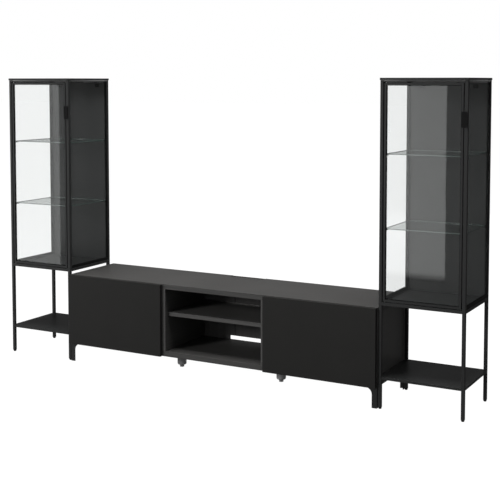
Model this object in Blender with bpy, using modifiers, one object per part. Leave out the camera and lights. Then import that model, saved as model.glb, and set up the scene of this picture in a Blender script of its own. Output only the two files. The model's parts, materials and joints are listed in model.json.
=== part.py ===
"""Media cabinet: a low bench with two doors between two tall framed glass cabinets.

Units are metres, +Z is up and the fronts face -Y. The origin is on the floor, under the
middle of the whole arrangement.
"""

import math

import bmesh
import bpy
from mathutils import Matrix, Vector

# ---------------------------------------------------------------- driving dimensions

FIT = 0.0003  # space left between pieces that touch

# Facets
ROUND_SIDES = 32
BORE_SIDES = 24
PIN_SIDES = 20
TIP_SIDES = 16
TURNED_STEPS = 40
FILLET_STEPS = 7
BEVEL_ANGLE = math.radians(30)
SMOOTH_ANGLE = math.radians(40)
WELD_DISTANCE = 0.00002

# Bench
BENCH_WIDTH = 1.80
BENCH_DEPTH = 0.42  # over the doors
BENCH_HEIGHT = 0.48
LEG_HEIGHT = 0.10
TOP_THICKNESS = 0.025
BOTTOM_THICKNESS = 0.027
SIDE_THICKNESS = 0.018
PARTITION_THICKNESS = 0.036
CENTRE_WIDTH = 0.60  # between the middles of the partitions
BACK_THICKNESS = 0.003
BOARD_EDGE = 0.0008

SHELF_THICKNESS = 0.020
SHELF_TOP = 0.3304
SHELF_SETBACK = 0.026

NOTCH_WIDTH = 0.20  # cable way in the rear edge of the top
NOTCH_DEPTH = 0.036
SLOT_WIDTH = 0.236  # cable way low in the back
SLOT_HEIGHT = 0.021

DOOR_THICKNESS = 0.0185
DOOR_STANDOFF = 0.0015  # from the carcass front to the back of a closed door
DOOR_MARGIN = 0.0015  # from a door's edge to the line that it stops at
DOOR_TOP_GAP = 0.002
DOOR_PIVOT_INSET = 0.004  # hinge axis from the door's outer edge
DOOR_PIVOT_BACK = 0.007  # hinge axis in front of the door's back face

CUP_RADIUS = 0.0175
CUP_DEPTH = 0.0115
CUP_FROM_EDGE = 0.0225
HINGE_INSET = 0.075  # hinge height in from the door's ends
ARM_LENGTH = 0.062
ARM_HEIGHT = 0.016
ARM_THICKNESS = 0.012
ARM_SETBACK = 0.004

LATCH_WIDTH = 0.013
LATCH_LENGTH = 0.052
LATCH_HEIGHT = 0.018
LATCH_DROP = 0.022  # from the top board down to the latch's middle
LATCH_SETBACK = 0.006
PLUNGER_RADIUS = 0.0036
PLUNGER_LENGTH = 0.026
PLUNGER_TRAVEL = 0.004
PLUNGER_PLAY = 0.0004

LEG_FLANGE = 0.026
LEG_SHEET = 0.003
LEG_FILLET = 0.032
LEG_REAR_INSET = 0.022  # rear legs stand this far inside the back

FOOT_PITCH = 0.60  # between the two middle feet
FOOT_RADIUS = 0.0245
FOOT_TIP_RADIUS = 0.0118
FOOT_CONE = 0.015
FOOT_RIM = 0.003

# Glass cabinets
CABINET_WIDTH = 0.42
CABINET_DEPTH = 0.37
CABINET_HEIGHT = 1.55
CABINET_GAP = 0.002  # to the bench
LID_THICKNESS = 0.011
LID_OVERHANG = 0.002
TUBE = 0.016
TUBE_EDGE = 0.0018
WELD_STEP = 0.0003  # rails sit this far inside the posts' faces
RAIL_EDGE = 0.0013
TOP_RAIL_HEIGHT = 0.008
GLASS_BASE = 0.4915  # underside of the glazed part
LOW_SHELF_BASE = 0.141
LOW_SHELF_THICKNESS = 0.012
FLOOR_THICKNESS = 0.010
FLOOR_DROP = 0.0030  # floor below the top of the rails round it
BACK_SHEET = 0.004
BACK_INSET = 0.004
SIDE_GLASS = 0.004
GLASS_SHELF = 0.005
GLASS_SHELF_EDGE = 0.0006
GLASS_SHELF_PITCH = 0.348
GLASS_SHELF_CLEAR = 0.0015  # to the posts at either side
GLASS_SHELF_FRONT = 0.004  # behind the front posts
GLASS_SHELF_REAR = 0.003  # in front of the back sheet

GLAZED_GAP = 0.0045  # between the glazed door and the posts
GLAZED_GAP_END = 0.004  # above and below the glazed door
GLAZED_BAR = 0.010
GLAZED_DEPTH = 0.014
PANE = 0.004
PIVOT_INSET = 0.0065  # pivot axis from the glazed door's outer edge
PIVOT_RADIUS = 0.0024
PIVOT_PLAY = 0.0003
PIVOT_BITE = 0.0055  # length of pin in each bar
GRIP_HEIGHT = 0.071
GRIP_DROP = 0.1272  # from the top of the glazed door down to the grip
GRIP_SHEET = 0.002
GRIP_LIP = 0.008
CATCH_SIZE = (0.030, 0.012, 0.010)

TIP_LENGTH = 0.007  # plastic tip under each post
TIP_RADIUS = 0.0062
TIP_TAPER = 0.0017

# ---------------------------------------------------------------- derived places

CARCASS_FRONT = -BENCH_DEPTH / 2 + DOOR_THICKNESS + DOOR_STANDOFF
CARCASS_REAR = BENCH_DEPTH / 2
BOARD_REAR = CARCASS_REAR - BACK_THICKNESS - FIT
HALF_BENCH = BENCH_WIDTH / 2
HALF_CENTRE = CENTRE_WIDTH / 2
BAY_HALF = HALF_CENTRE - PARTITION_THICKNESS / 2
BAY_FLOOR = LEG_HEIGHT + BOTTOM_THICKNESS
BAY_CEILING = BENCH_HEIGHT - TOP_THICKNESS
DOOR_FRONT = -BENCH_DEPTH / 2
DOOR_BACK = DOOR_FRONT + DOOR_THICKNESS
DOOR_BASE = LEG_HEIGHT
DOOR_TOP = BENCH_HEIGHT - DOOR_TOP_GAP

FRAME_HALF = CABINET_WIDTH / 2 - LID_OVERHANG
FRAME_FRONT = CARCASS_FRONT + LID_OVERHANG
FRAME_REAR = CARCASS_FRONT + CABINET_DEPTH - LID_OVERHANG
POST_INNER = FRAME_HALF - TUBE
POST_BACK_OF_FRONT = FRAME_FRONT + TUBE
POST_FRONT_OF_REAR = FRAME_REAR - TUBE
FRAME_TOP = CABINET_HEIGHT - LID_THICKNESS - FIT
TOP_RAIL_BASE = FRAME_TOP - TOP_RAIL_HEIGHT
BASE_RAIL_TOP = GLASS_BASE + TUBE
FLOOR_TOP = BASE_RAIL_TOP - FLOOR_DROP
BACK_SHEET_FRONT = FRAME_REAR - BACK_INSET - BACK_SHEET
GLAZED_BASE = BASE_RAIL_TOP + GLAZED_GAP_END
GLAZED_TOP = TOP_RAIL_BASE - GLAZED_GAP_END
GLAZED_HALF = POST_INNER - GLAZED_GAP
GRIP_BASE = GLAZED_TOP - GRIP_DROP - GRIP_HEIGHT

# ---------------------------------------------------------------- scene set-up

for old in list(bpy.data.objects):
    bpy.data.objects.remove(old, do_unlink=True)


def new_collection(name):
    collection = bpy.data.collections.new(name)
    bpy.context.scene.collection.children.link(collection)
    return collection


PARTS = new_collection("media_cabinet")
CUTTERS = new_collection("cutters")
CUTTERS.hide_render = True


def make_material(name, colour, roughness, metallic=0.0, transmission=0.0):
    material = bpy.data.materials.new(name)
    material.use_nodes = True
    shader = material.node_tree.nodes["Principled BSDF"]
    shader.inputs["Base Color"].default_value = (*colour, 1.0)
    shader.inputs["Roughness"].default_value = roughness
    shader.inputs["Metallic"].default_value = metallic
    shader.inputs["Transmission Weight"].default_value = transmission
    return material


BOARD = make_material("black_brown_board", (0.030, 0.029, 0.027), 0.45)
DOOR_FOIL = make_material("black_door_foil", (0.021, 0.021, 0.019), 0.40)
STEEL = make_material("black_powder_coat", (0.028, 0.028, 0.029), 0.38, 0.2)
GLASS = make_material("clear_glass", (0.85, 0.90, 0.89), 0.02, 0.0, 1.0)
ZINC = make_material("nickel_plate", (0.48, 0.48, 0.47), 0.28, 1.0)
GREY_PLASTIC = make_material("grey_plastic", (0.16, 0.16, 0.165), 0.35)
BLACK_PLASTIC = make_material("black_plastic", (0.018, 0.018, 0.019), 0.42)

# ---------------------------------------------------------------- shape helpers


def add_object(name, mesh, material, collection=None):
    obj = bpy.data.objects.new(name, mesh)
    (collection or PARTS).objects.link(obj)
    if material:
        mesh.materials.append(material)
    return obj


def add_bevel(obj, width, segments=2):
    bevel = obj.modifiers.new("edges", "BEVEL")
    bevel.width = width
    bevel.segments = segments
    bevel.limit_method = "ANGLE"
    bevel.angle_limit = BEVEL_ANGLE
    bevel.use_clamp_overlap = True
    return obj


def box(name, low, high, material=None, edge=0.0, collection=None):
    """A box between two corners, with its origin at its middle."""
    low, high = Vector(low), Vector(high)
    mesh = bpy.data.meshes.new(name)
    shape = bmesh.new()
    bmesh.ops.create_cube(shape, size=1.0)
    bmesh.ops.scale(shape, vec=high - low, verts=shape.verts)
    shape.to_mesh(mesh)
    shape.free()
    obj = add_object(name, mesh, material, collection)
    obj.location = (low + high) / 2
    if edge:
        add_bevel(obj, edge)
    return obj


def cylinder(
    name,
    radius,
    length,
    centre,
    direction,
    material=None,
    sides=ROUND_SIDES,
    top_radius=None,
    collection=None,
):
    """A round bar about its middle; top_radius is the radius at the end that direction points to."""
    mesh = bpy.data.meshes.new(name)
    shape = bmesh.new()
    bmesh.ops.create_cone(
        shape,
        cap_ends=True,
        segments=sides,
        radius1=radius,
        radius2=radius if top_radius is None else top_radius,
        depth=length,
    )
    turn = Vector((0, 0, 1)).rotation_difference(Vector(direction)).to_matrix().to_4x4()
    bmesh.ops.transform(shape, matrix=turn, verts=shape.verts)
    shape.to_mesh(mesh)
    shape.free()
    mesh.shade_smooth()
    mesh.set_sharp_from_angle(angle=SMOOTH_ANGLE)
    obj = add_object(name, mesh, material, collection)
    obj.location = centre
    return obj


def as_helper(obj):
    obj.hide_render = True
    obj.display_type = "WIRE"
    return obj


def helper_box(name, low, high):
    return as_helper(box(name, low, high, collection=CUTTERS))


def helper_cylinder(name, radius, length, centre, direction, sides=ROUND_SIDES):
    return as_helper(cylinder(name, radius, length, centre, direction, sides=sides, collection=CUTTERS))


def combine(obj, other, operation, solver="EXACT"):
    boolean = obj.modifiers.new(f"{operation.lower()}_{other.name}", "BOOLEAN")
    boolean.operation = operation
    boolean.solver = solver
    boolean.object = other
    return obj


def cut(obj, *cutters):
    for cutter in cutters:
        combine(obj, cutter, "DIFFERENCE")
    return obj


def join(obj, *others, solver="EXACT"):
    for other in others:
        combine(obj, other, "UNION", solver)
    return obj


def turned(name, profile, centre, material):
    """A profile of (radius, height) points, top to bottom, turned about Z."""
    mesh = bpy.data.meshes.new(name)
    mesh.from_pydata([(r, 0, z) for r, z in profile], [(i, i + 1) for i in range(len(profile) - 1)], [])
    obj = add_object(name, mesh, material)
    obj.location = centre
    screw = obj.modifiers.new("turn", "SCREW")
    screw.steps = TURNED_STEPS
    screw.render_steps = TURNED_STEPS
    screw.use_merge_vertices = True
    screw.merge_threshold = WELD_DISTANCE
    screw.use_smooth_shade = True
    return obj


def extruded(name, outline, thickness, to_world):
    """A closed flat outline as a 2D curve, extruded, then made a mesh in the helpers' collection."""
    curve = bpy.data.curves.new(name, "CURVE")
    curve.dimensions = "2D"
    curve.fill_mode = "BOTH"
    curve.extrude = thickness / 2
    spline = curve.splines.new("POLY")
    spline.points.add(len(outline) - 1)
    for point, (x, y) in zip(spline.points, outline):
        point.co = (x, y, 0, 1)
    spline.use_cyclic_u = True
    flat = bpy.data.objects.new(name + "_outline", curve)
    CUTTERS.objects.link(flat)
    bpy.context.view_layer.update()
    graph = bpy.context.evaluated_depsgraph_get()
    mesh = bpy.data.meshes.new_from_object(flat.evaluated_get(graph))
    mesh.name = name
    bpy.data.objects.remove(flat, do_unlink=True)
    shape = bmesh.new()
    shape.from_mesh(mesh)
    bmesh.ops.remove_doubles(shape, verts=shape.verts, dist=WELD_DISTANCE)
    bmesh.ops.transform(shape, matrix=to_world, verts=shape.verts)
    bmesh.ops.recalc_face_normals(shape, faces=shape.faces)
    shape.to_mesh(mesh)
    shape.free()
    return mesh


# ---------------------------------------------------------------- bench


def bench_boards():
    top = box(
        "bench_top_panel",
        (-HALF_BENCH, CARCASS_FRONT, BAY_CEILING),
        (HALF_BENCH, BOARD_REAR, BENCH_HEIGHT),
        BOARD,
    )
    notch = helper_box(
        "top_cable_notch",
        (-NOTCH_WIDTH / 2, CARCASS_REAR - NOTCH_DEPTH, BAY_CEILING - TOP_THICKNESS),
        (NOTCH_WIDTH / 2, CARCASS_REAR + TOP_THICKNESS, BENCH_HEIGHT + TOP_THICKNESS),
    )
    add_bevel(cut(top, notch), BOARD_EDGE)
    box(
        "bench_bottom_panel",
        (-HALF_BENCH, CARCASS_FRONT, LEG_HEIGHT),
        (HALF_BENCH, BOARD_REAR, BAY_FLOOR),
        BOARD,
        BOARD_EDGE,
    )
    upright_low = (CARCASS_FRONT, BAY_FLOOR + FIT)
    upright_high = (BOARD_REAR, BAY_CEILING - FIT)
    uprights = (
        ("bench_left_side", -HALF_BENCH, SIDE_THICKNESS),
        ("bench_left_partition", -HALF_CENTRE - PARTITION_THICKNESS / 2, PARTITION_THICKNESS),
        ("bench_right_partition", HALF_CENTRE - PARTITION_THICKNESS / 2, PARTITION_THICKNESS),
        ("bench_right_side", HALF_BENCH - SIDE_THICKNESS, SIDE_THICKNESS),
    )
    for name, left, thickness in uprights:
        box(name, (left, *upright_low), (left + thickness, *upright_high), BOARD, BOARD_EDGE)
    box(
        "bench_centre_shelf",
        (-BAY_HALF + FIT, CARCASS_FRONT + SHELF_SETBACK, SHELF_TOP - SHELF_THICKNESS),
        (BAY_HALF - FIT, BOARD_REAR - FIT, SHELF_TOP),
        BOARD,
        BOARD_EDGE,
    )


def bench_backs():
    """Three thin back boards that lie on the rear edges; the middle one has the cable slot."""
    edges = (-HALF_BENCH, -HALF_CENTRE, HALF_CENTRE, HALF_BENCH)
    for side, left, right in zip(("left", "centre", "right"), edges, edges[1:]):
        panel = box(
            f"bench_{side}_back_panel",
            (left + FIT, CARCASS_REAR - BACK_THICKNESS, LEG_HEIGHT + BACK_THICKNESS),
            (right - FIT, CARCASS_REAR, BENCH_HEIGHT - DOOR_TOP_GAP),
            BOARD,
        )
        if side == "centre":
            slot = helper_box(
                "back_cable_slot",
                (-SLOT_WIDTH / 2, BOARD_REAR, BAY_FLOOR),
                (SLOT_WIDTH / 2, CARCASS_REAR + BACK_THICKNESS, BAY_FLOOR + SLOT_HEIGHT),
            )
            cut(panel, slot)


def bench_legs():
    """Folded sheet angles whose two flanges flare into a square plate under the bench."""
    top = LEG_HEIGHT - FIT
    plate_base = top - LEG_SHEET
    reach = LEG_FLANGE + LEG_FILLET
    arc_top = plate_base - FIT
    beyond = 2 * reach
    through = 2 * beyond
    outline = [(LEG_FLANGE, -reach)]
    for step in range(FILLET_STEPS + 1):
        angle = math.pi - (math.pi / 2) * step / FILLET_STEPS
        across = LEG_FLANGE + LEG_FILLET * (1 + math.cos(angle))
        outline.append((across, arc_top - LEG_FILLET * (1 - math.sin(angle))))
    outline += [(beyond, arc_top), (beyond, -reach)]
    upright = Matrix.Rotation(math.pi / 2, 4, "X")
    swap = Matrix(((0, 1, 0, 0), (1, 0, 0, 0), (0, 0, 1, 0), (0, 0, 0, 1)))
    rear = CARCASS_REAR - LEG_REAR_INSET
    corners = (
        ("bench_front_left_leg", -HALF_BENCH, CARCASS_FRONT, 1, 1),
        ("bench_front_right_leg", HALF_BENCH, CARCASS_FRONT, -1, 1),
        ("bench_rear_left_leg", -HALF_BENCH, rear, 1, -1),
        ("bench_rear_right_leg", HALF_BENCH, rear, -1, -1),
    )
    for name, x, y, way_x, way_y in corners:
        far_x, far_y = x + way_x * reach, y + way_y * reach
        leg = box(name, (min(x, far_x), min(y, far_y), 0), (max(x, far_x), max(y, far_y), top), STEEL)
        near = (x + way_x * LEG_SHEET, y + way_y * LEG_SHEET)
        past = (x + way_x * beyond, y + way_y * beyond)
        hollow = helper_box(
            name + "_hollow",
            (min(near[0], past[0]), min(near[1], past[1]), -reach),
            (max(near[0], past[0]), max(near[1], past[1]), plate_base),
        )
        place = Matrix.Translation((x, y, 0)) @ Matrix.Diagonal((way_x, way_y, 1, 1))
        cut(leg, hollow)
        for label, turn in (("_front_flare", upright), ("_side_flare", swap @ upright)):
            mesh = extruded(name + label, outline, 2 * through, place @ turn)
            cut(leg, as_helper(add_object(name + label, mesh, None, CUTTERS)))


def middle_feet():
    """Round support feet under the middle of the bench."""
    rim = FOOT_RIM
    top = LEG_HEIGHT - FIT
    profile = [
        (0.0, top),
        (FOOT_RADIUS, top),
        (FOOT_RADIUS, FOOT_CONE + rim),
        (FOOT_RADIUS - rim / 2, FOOT_CONE),
        (FOOT_TIP_RADIUS + rim / 2, rim),
        (FOOT_TIP_RADIUS, rim / 2),
        (FOOT_TIP_RADIUS - rim / 2, 0.0),
        (0.0, 0.0),
    ]
    for side, way in (("left", -1), ("right", 1)):
        turned(f"bench_{side}_middle_foot", profile, (way * FOOT_PITCH / 2, 0, 0), GREY_PLASTIC)


def bench_door(side, way):
    """A plain overlay door with two cup hinges; way is -1 at the left and 1 at the right."""
    outer = way * (HALF_BENCH - DOOR_MARGIN)
    inner = way * (HALF_CENTRE + DOOR_MARGIN)
    pivot_x = outer - way * DOOR_PIVOT_INSET
    pivot = bpy.data.objects.new(f"{side}_door_pivot", None)
    pivot.location = (pivot_x, DOOR_BACK - DOOR_PIVOT_BACK, 0)
    PARTS.objects.link(pivot)
    door = box(
        f"bench_{side}_door",
        (min(outer, inner), DOOR_FRONT, DOOR_BASE),
        (max(outer, inner), DOOR_BACK, DOOR_TOP),
        DOOR_FOIL,
        BOARD_EDGE,
    )
    cup_x = outer - way * CUP_FROM_EDGE
    heights = (("lower", DOOR_BASE + HINGE_INSET), ("upper", DOOR_TOP - HINGE_INSET))
    riders = [door]
    for level, height in heights:
        pocket = helper_cylinder(
            f"{side}_{level}_cup_pocket",
            CUP_RADIUS + FIT,
            2 * CUP_DEPTH,
            (cup_x, DOOR_BACK, height),
            (0, 1, 0),
        )
        cut(door, pocket)
        cup = cylinder(
            f"bench_{side}_door_{level}_hinge_cup",
            CUP_RADIUS,
            CUP_DEPTH - 2 * FIT,
            (cup_x, DOOR_BACK - CUP_DEPTH / 2, height),
            (0, 1, 0),
            ZINC,
        )
        riders.append(cup)
        wall = way * (HALF_BENCH - SIDE_THICKNESS - FIT)
        far = wall - way * ARM_THICKNESS
        box(
            f"bench_{side}_{level}_hinge_arm",
            (min(wall, far), CARCASS_FRONT + ARM_SETBACK, height - ARM_HEIGHT / 2),
            (max(wall, far), CARCASS_FRONT + ARM_SETBACK + ARM_LENGTH, height + ARM_HEIGHT / 2),
            ZINC,
            BOARD_EDGE,
        )
    bpy.context.view_layer.update()
    for rider in riders:
        place = rider.matrix_world.copy()
        rider.parent = pivot
        rider.matrix_parent_inverse = pivot.matrix_world.inverted()
        rider.matrix_world = place


def push_latch(side, way):
    """A push-to-open latch on the partition, with its sprung plunger against the door."""
    wall = way * (HALF_CENTRE + PARTITION_THICKNESS / 2 + FIT)
    far = wall + way * LATCH_WIDTH
    height = BAY_CEILING - LATCH_DROP
    front = CARCASS_FRONT + LATCH_SETBACK
    housing = box(
        f"bench_{side}_push_latch",
        (min(wall, far), front, height - LATCH_HEIGHT / 2),
        (max(wall, far), front + LATCH_LENGTH, height + LATCH_HEIGHT / 2),
        BLACK_PLASTIC,
    )
    centre_x = (wall + far) / 2
    tip = DOOR_BACK + FIT
    bore_end = tip + PLUNGER_LENGTH + PLUNGER_TRAVEL + PLUNGER_PLAY
    bore = helper_cylinder(
        f"{side}_plunger_bore",
        PLUNGER_RADIUS + PLUNGER_PLAY,
        bore_end - DOOR_BACK,
        (centre_x, (bore_end + DOOR_BACK) / 2, height),
        (0, 1, 0),
        sides=BORE_SIDES,
    )
    cut(housing, bore)
    cylinder(
        f"bench_{side}_latch_plunger",
        PLUNGER_RADIUS,
        PLUNGER_LENGTH,
        (centre_x, tip + PLUNGER_LENGTH / 2, height),
        (0, 1, 0),
        BLACK_PLASTIC,
        sides=BORE_SIDES,
    )


# ---------------------------------------------------------------- glass cabinets


def cabinet_frame(side, centre):
    """Posts and rails of square tube, welded into one frame, on round plastic tips.

    The rounded ends of tubes cross at very shallow angles, which the MANIFOLD solver joins
    without leaving open edges.
    """
    low_x, high_x = centre - FRAME_HALF, centre + FRAME_HALF
    posts = []
    tips = []
    for name_x, x in (("left", low_x), ("right", high_x - TUBE)):
        for name_y, y in (("front", FRAME_FRONT), ("rear", FRAME_REAR - TUBE)):
            label = f"{side}_{name_y}_{name_x}"
            posts.append((label + "_post", (x, y, TIP_LENGTH), (x + TUBE, y + TUBE, FRAME_TOP)))
            tips.append((label + "_tip", (x + TUBE / 2, y + TUBE / 2)))
    rails = []
    near_x, far_x = low_x + TUBE / 2, high_x - TUBE / 2
    near_y, far_y = FRAME_FRONT + TUBE / 2, FRAME_REAR - TUBE / 2
    thickness = TUBE - 2 * WELD_STEP
    for level, base, top in (
        ("base", GLASS_BASE, BASE_RAIL_TOP),
        ("top", TOP_RAIL_BASE, FRAME_TOP - WELD_STEP),
    ):
        for name, y in (("front", FRAME_FRONT), ("rear", FRAME_REAR - TUBE)):
            y += WELD_STEP
            rails.append((f"{side}_{level}_{name}_rail", (near_x, y, base), (far_x, y + thickness, top)))
        for name, x in (("left", low_x), ("right", high_x - TUBE)):
            x += WELD_STEP
            rails.append((f"{side}_{level}_{name}_rail", (x, near_y, base), (x + thickness, far_y, top)))
    name, low, high = posts[0]
    frame = box(f"{side}_cabinet_frame", low, high, STEEL, TUBE_EDGE)
    for name, low, high in posts[1:] + rails:
        join(frame, add_bevel(helper_box(name, low, high), RAIL_EDGE), solver="MANIFOLD")
    for name, (x, y) in tips:
        tip = cylinder(
            name,
            TIP_RADIUS - TIP_TAPER,
            2 * TIP_LENGTH,
            (x, y, TIP_LENGTH),
            (0, 0, 1),
            sides=TIP_SIDES,
            top_radius=TIP_RADIUS + TIP_TAPER,
            collection=CUTTERS,
        )
        join(frame, as_helper(tip), solver="MANIFOLD")
    for end, height in (("lower", BASE_RAIL_TOP), ("upper", TOP_RAIL_BASE)):
        cut(frame, pivot_bore(f"{side}_frame_{end}_bore", centre, height))


def pivot_place(centre):
    """Where the glazed door's hinge axis meets the floor."""
    return centre - GLAZED_HALF + PIVOT_INSET, FRAME_FRONT + GLAZED_DEPTH / 2


def pivot_bore(name, centre, height):
    x, y = pivot_place(centre)
    length = 2 * (PIVOT_BITE + PIVOT_PLAY)
    return helper_cylinder(name, PIVOT_RADIUS + PIVOT_PLAY, length, (x, y, height), (0, 0, 1), PIN_SIDES)


def cabinet_sheets(side, centre):
    """Lid, floor, back and low shelf of folded sheet."""
    box(
        f"{side}_cabinet_top_panel",
        (centre - CABINET_WIDTH / 2, CARCASS_FRONT, CABINET_HEIGHT - LID_THICKNESS),
        (centre + CABINET_WIDTH / 2, CARCASS_FRONT + CABINET_DEPTH, CABINET_HEIGHT),
        STEEL,
        TUBE_EDGE / 2,
    )
    box(
        f"{side}_cabinet_floor_panel",
        (centre - POST_INNER + FIT, POST_BACK_OF_FRONT + FIT, FLOOR_TOP - FLOOR_THICKNESS),
        (centre + POST_INNER - FIT, POST_FRONT_OF_REAR - FIT, FLOOR_TOP),
        STEEL,
        TUBE_EDGE / 2,
    )
    box(
        f"{side}_cabinet_back_panel",
        (centre - POST_INNER + FIT, BACK_SHEET_FRONT, BASE_RAIL_TOP + FIT),
        (centre + POST_INNER - FIT, BACK_SHEET_FRONT + BACK_SHEET, TOP_RAIL_BASE - FIT),
        STEEL,
    )
    shelf = box(
        f"{side}_cabinet_low_shelf",
        (centre - FRAME_HALF, FRAME_FRONT, LOW_SHELF_BASE),
        (centre + FRAME_HALF, FRAME_REAR, LOW_SHELF_BASE + LOW_SHELF_THICKNESS),
        STEEL,
    )
    reach = TUBE + FIT
    spare = LOW_SHELF_THICKNESS
    for name_x, x, out_x in (("left", centre - FRAME_HALF, -1), ("right", centre + FRAME_HALF, 1)):
        for name_y, y, out_y in (("front", FRAME_FRONT, -1), ("rear", FRAME_REAR, 1)):
            inner = (x - out_x * reach, y - out_y * reach)
            outer = (x + out_x * spare, y + out_y * spare)
            corner = helper_box(
                f"{side}_low_shelf_{name_y}_{name_x}_corner",
                (min(inner[0], outer[0]), min(inner[1], outer[1]), LOW_SHELF_BASE - spare),
                (max(inner[0], outer[0]), max(inner[1], outer[1]), LOW_SHELF_BASE + 2 * spare),
            )
            cut(shelf, corner)
    add_bevel(shelf, TUBE_EDGE / 2, 1)


def cabinet_glass(side, centre):
    """Glass sides and two glass shelves."""
    pane_x = FRAME_HALF - TUBE / 2
    for name, way in (("left", -1), ("right", 1)):
        middle = centre + way * pane_x
        box(
            f"{side}_cabinet_{name}_side_glass",
            (middle - SIDE_GLASS / 2, POST_BACK_OF_FRONT + FIT, BASE_RAIL_TOP + FIT),
            (middle + SIDE_GLASS / 2, POST_FRONT_OF_REAR - FIT, TOP_RAIL_BASE - FIT),
            GLASS,
        )
    half = POST_INNER - GLASS_SHELF_CLEAR
    for level, name in enumerate(("lower", "upper"), start=1):
        top = FLOOR_TOP + level * GLASS_SHELF_PITCH
        box(
            f"{side}_cabinet_{name}_glass_shelf",
            (centre - half, POST_BACK_OF_FRONT + GLASS_SHELF_FRONT, top - GLASS_SHELF),
            (centre + half, BACK_SHEET_FRONT - GLASS_SHELF_REAR, top),
            GLASS,
            GLASS_SHELF_EDGE,
        )


def glazed_door(side, centre):
    """A pane in a slim steel surround that turns on two pins at its left edge."""
    pivot_x, pivot_y = pivot_place(centre)
    pivot = bpy.data.objects.new(f"{side}_glazed_door_pivot", None)
    pivot.location = (pivot_x, pivot_y, 0)
    PARTS.objects.link(pivot)
    front, back = FRAME_FRONT, FRAME_FRONT + GLAZED_DEPTH
    left, right = centre - GLAZED_HALF, centre + GLAZED_HALF
    surround = box(
        f"{side}_glass_door_frame",
        (left, front, GLAZED_BASE),
        (right, back, GLAZED_TOP),
        STEEL,
        TUBE_EDGE / 2,
    )
    opening = helper_box(
        f"{side}_glass_door_opening",
        (left + GLAZED_BAR, front - GLAZED_DEPTH, GLAZED_BASE + GLAZED_BAR),
        (right - GLAZED_BAR, back + GLAZED_DEPTH, GLAZED_TOP - GLAZED_BAR),
    )
    cut(surround, opening)
    for end, height in (("lower", GLAZED_BASE), ("upper", GLAZED_TOP)):
        cut(surround, pivot_bore(f"{side}_door_{end}_bore", centre, height))
    middle = (front + back) / 2
    pane = box(
        f"{side}_glass_door_pane",
        (left + GLAZED_BAR + FIT, middle - PANE / 2, GLAZED_BASE + GLAZED_BAR + FIT),
        (right - GLAZED_BAR - FIT, middle + PANE / 2, GLAZED_TOP - GLAZED_BAR - FIT),
        GLASS,
    )
    grip_back = front - FIT
    grip = box(
        f"{side}_glass_door_grip",
        (right - GLAZED_BAR, grip_back - GRIP_LIP, GRIP_BASE),
        (centre + FRAME_HALF, grip_back, GRIP_BASE + GRIP_HEIGHT),
        STEEL,
    )
    fold = helper_box(
        f"{side}_glass_door_grip_fold",
        (right - GLAZED_BAR - GRIP_LIP, grip_back - 2 * GRIP_LIP, GRIP_BASE - GRIP_LIP),
        (
            centre + FRAME_HALF - GRIP_SHEET,
            grip_back - GRIP_SHEET,
            GRIP_BASE + GRIP_HEIGHT + GRIP_LIP,
        ),
    )
    cut(grip, fold)
    pins = []
    for end, height in (
        ("lower", (BASE_RAIL_TOP + GLAZED_BASE) / 2),
        ("upper", (TOP_RAIL_BASE + GLAZED_TOP) / 2),
    ):
        pins.append(
            cylinder(
                f"{side}_glass_door_{end}_pivot_pin",
                PIVOT_RADIUS,
                GLAZED_GAP_END + 2 * PIVOT_BITE - 2 * PIVOT_PLAY,
                (pivot_x, pivot_y, height),
                (0, 0, 1),
                ZINC,
                sides=PIN_SIDES,
            )
        )
    bpy.context.view_layer.update()
    for rider in [surround, pane, grip] + pins:
        place = rider.matrix_world.copy()
        rider.parent = pivot
        rider.matrix_parent_inverse = pivot.matrix_world.inverted()
        rider.matrix_world = place


def magnet_catch(side, centre):
    """A magnet under the top rail, behind the free corner of the glazed door."""
    width, depth, height = CATCH_SIZE
    right = centre + POST_INNER - TUBE
    front = FRAME_FRONT + GLAZED_DEPTH + 2 * FIT
    box(
        f"{side}_cabinet_magnet_catch",
        (right - width, front, TOP_RAIL_BASE - FIT - height),
        (right, front + depth, TOP_RAIL_BASE - FIT),
        BLACK_PLASTIC,
        BOARD_EDGE,
    )


# ---------------------------------------------------------------- assembly

bench_boards()
bench_backs()
bench_legs()
middle_feet()
for door_side, door_way in (("left", -1), ("right", 1)):
    bench_door(door_side, door_way)
    push_latch(door_side, door_way)

CABINET_CENTRE = HALF_BENCH + CABINET_GAP + CABINET_WIDTH / 2
for cabinet_side, cabinet_centre in (("left", -CABINET_CENTRE), ("right", CABINET_CENTRE)):
    cabinet_frame(cabinet_side, cabinet_centre)
    cabinet_sheets(cabinet_side, cabinet_centre)
    cabinet_glass(cabinet_side, cabinet_centre)
    glazed_door(cabinet_side, cabinet_centre)
    magnet_catch(cabinet_side, cabinet_centre)
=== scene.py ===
# %% [markdown]
# # A media bench between two glass cabinets
#
# This lesson dresses a finished engineering model. The frame of the furniture, with every
# board, tube and pane at its true size, is loaded first and never changed. Everything after
# that is looks: light, camera, surface finishes and the small fittings that a maker adds last.
# Lengths are metres, +Z is up, the fronts face -Y and +X runs towards the right cabinet.

import json
import math

import bmesh
import bpy
from mathutils import Matrix, Vector

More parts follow.
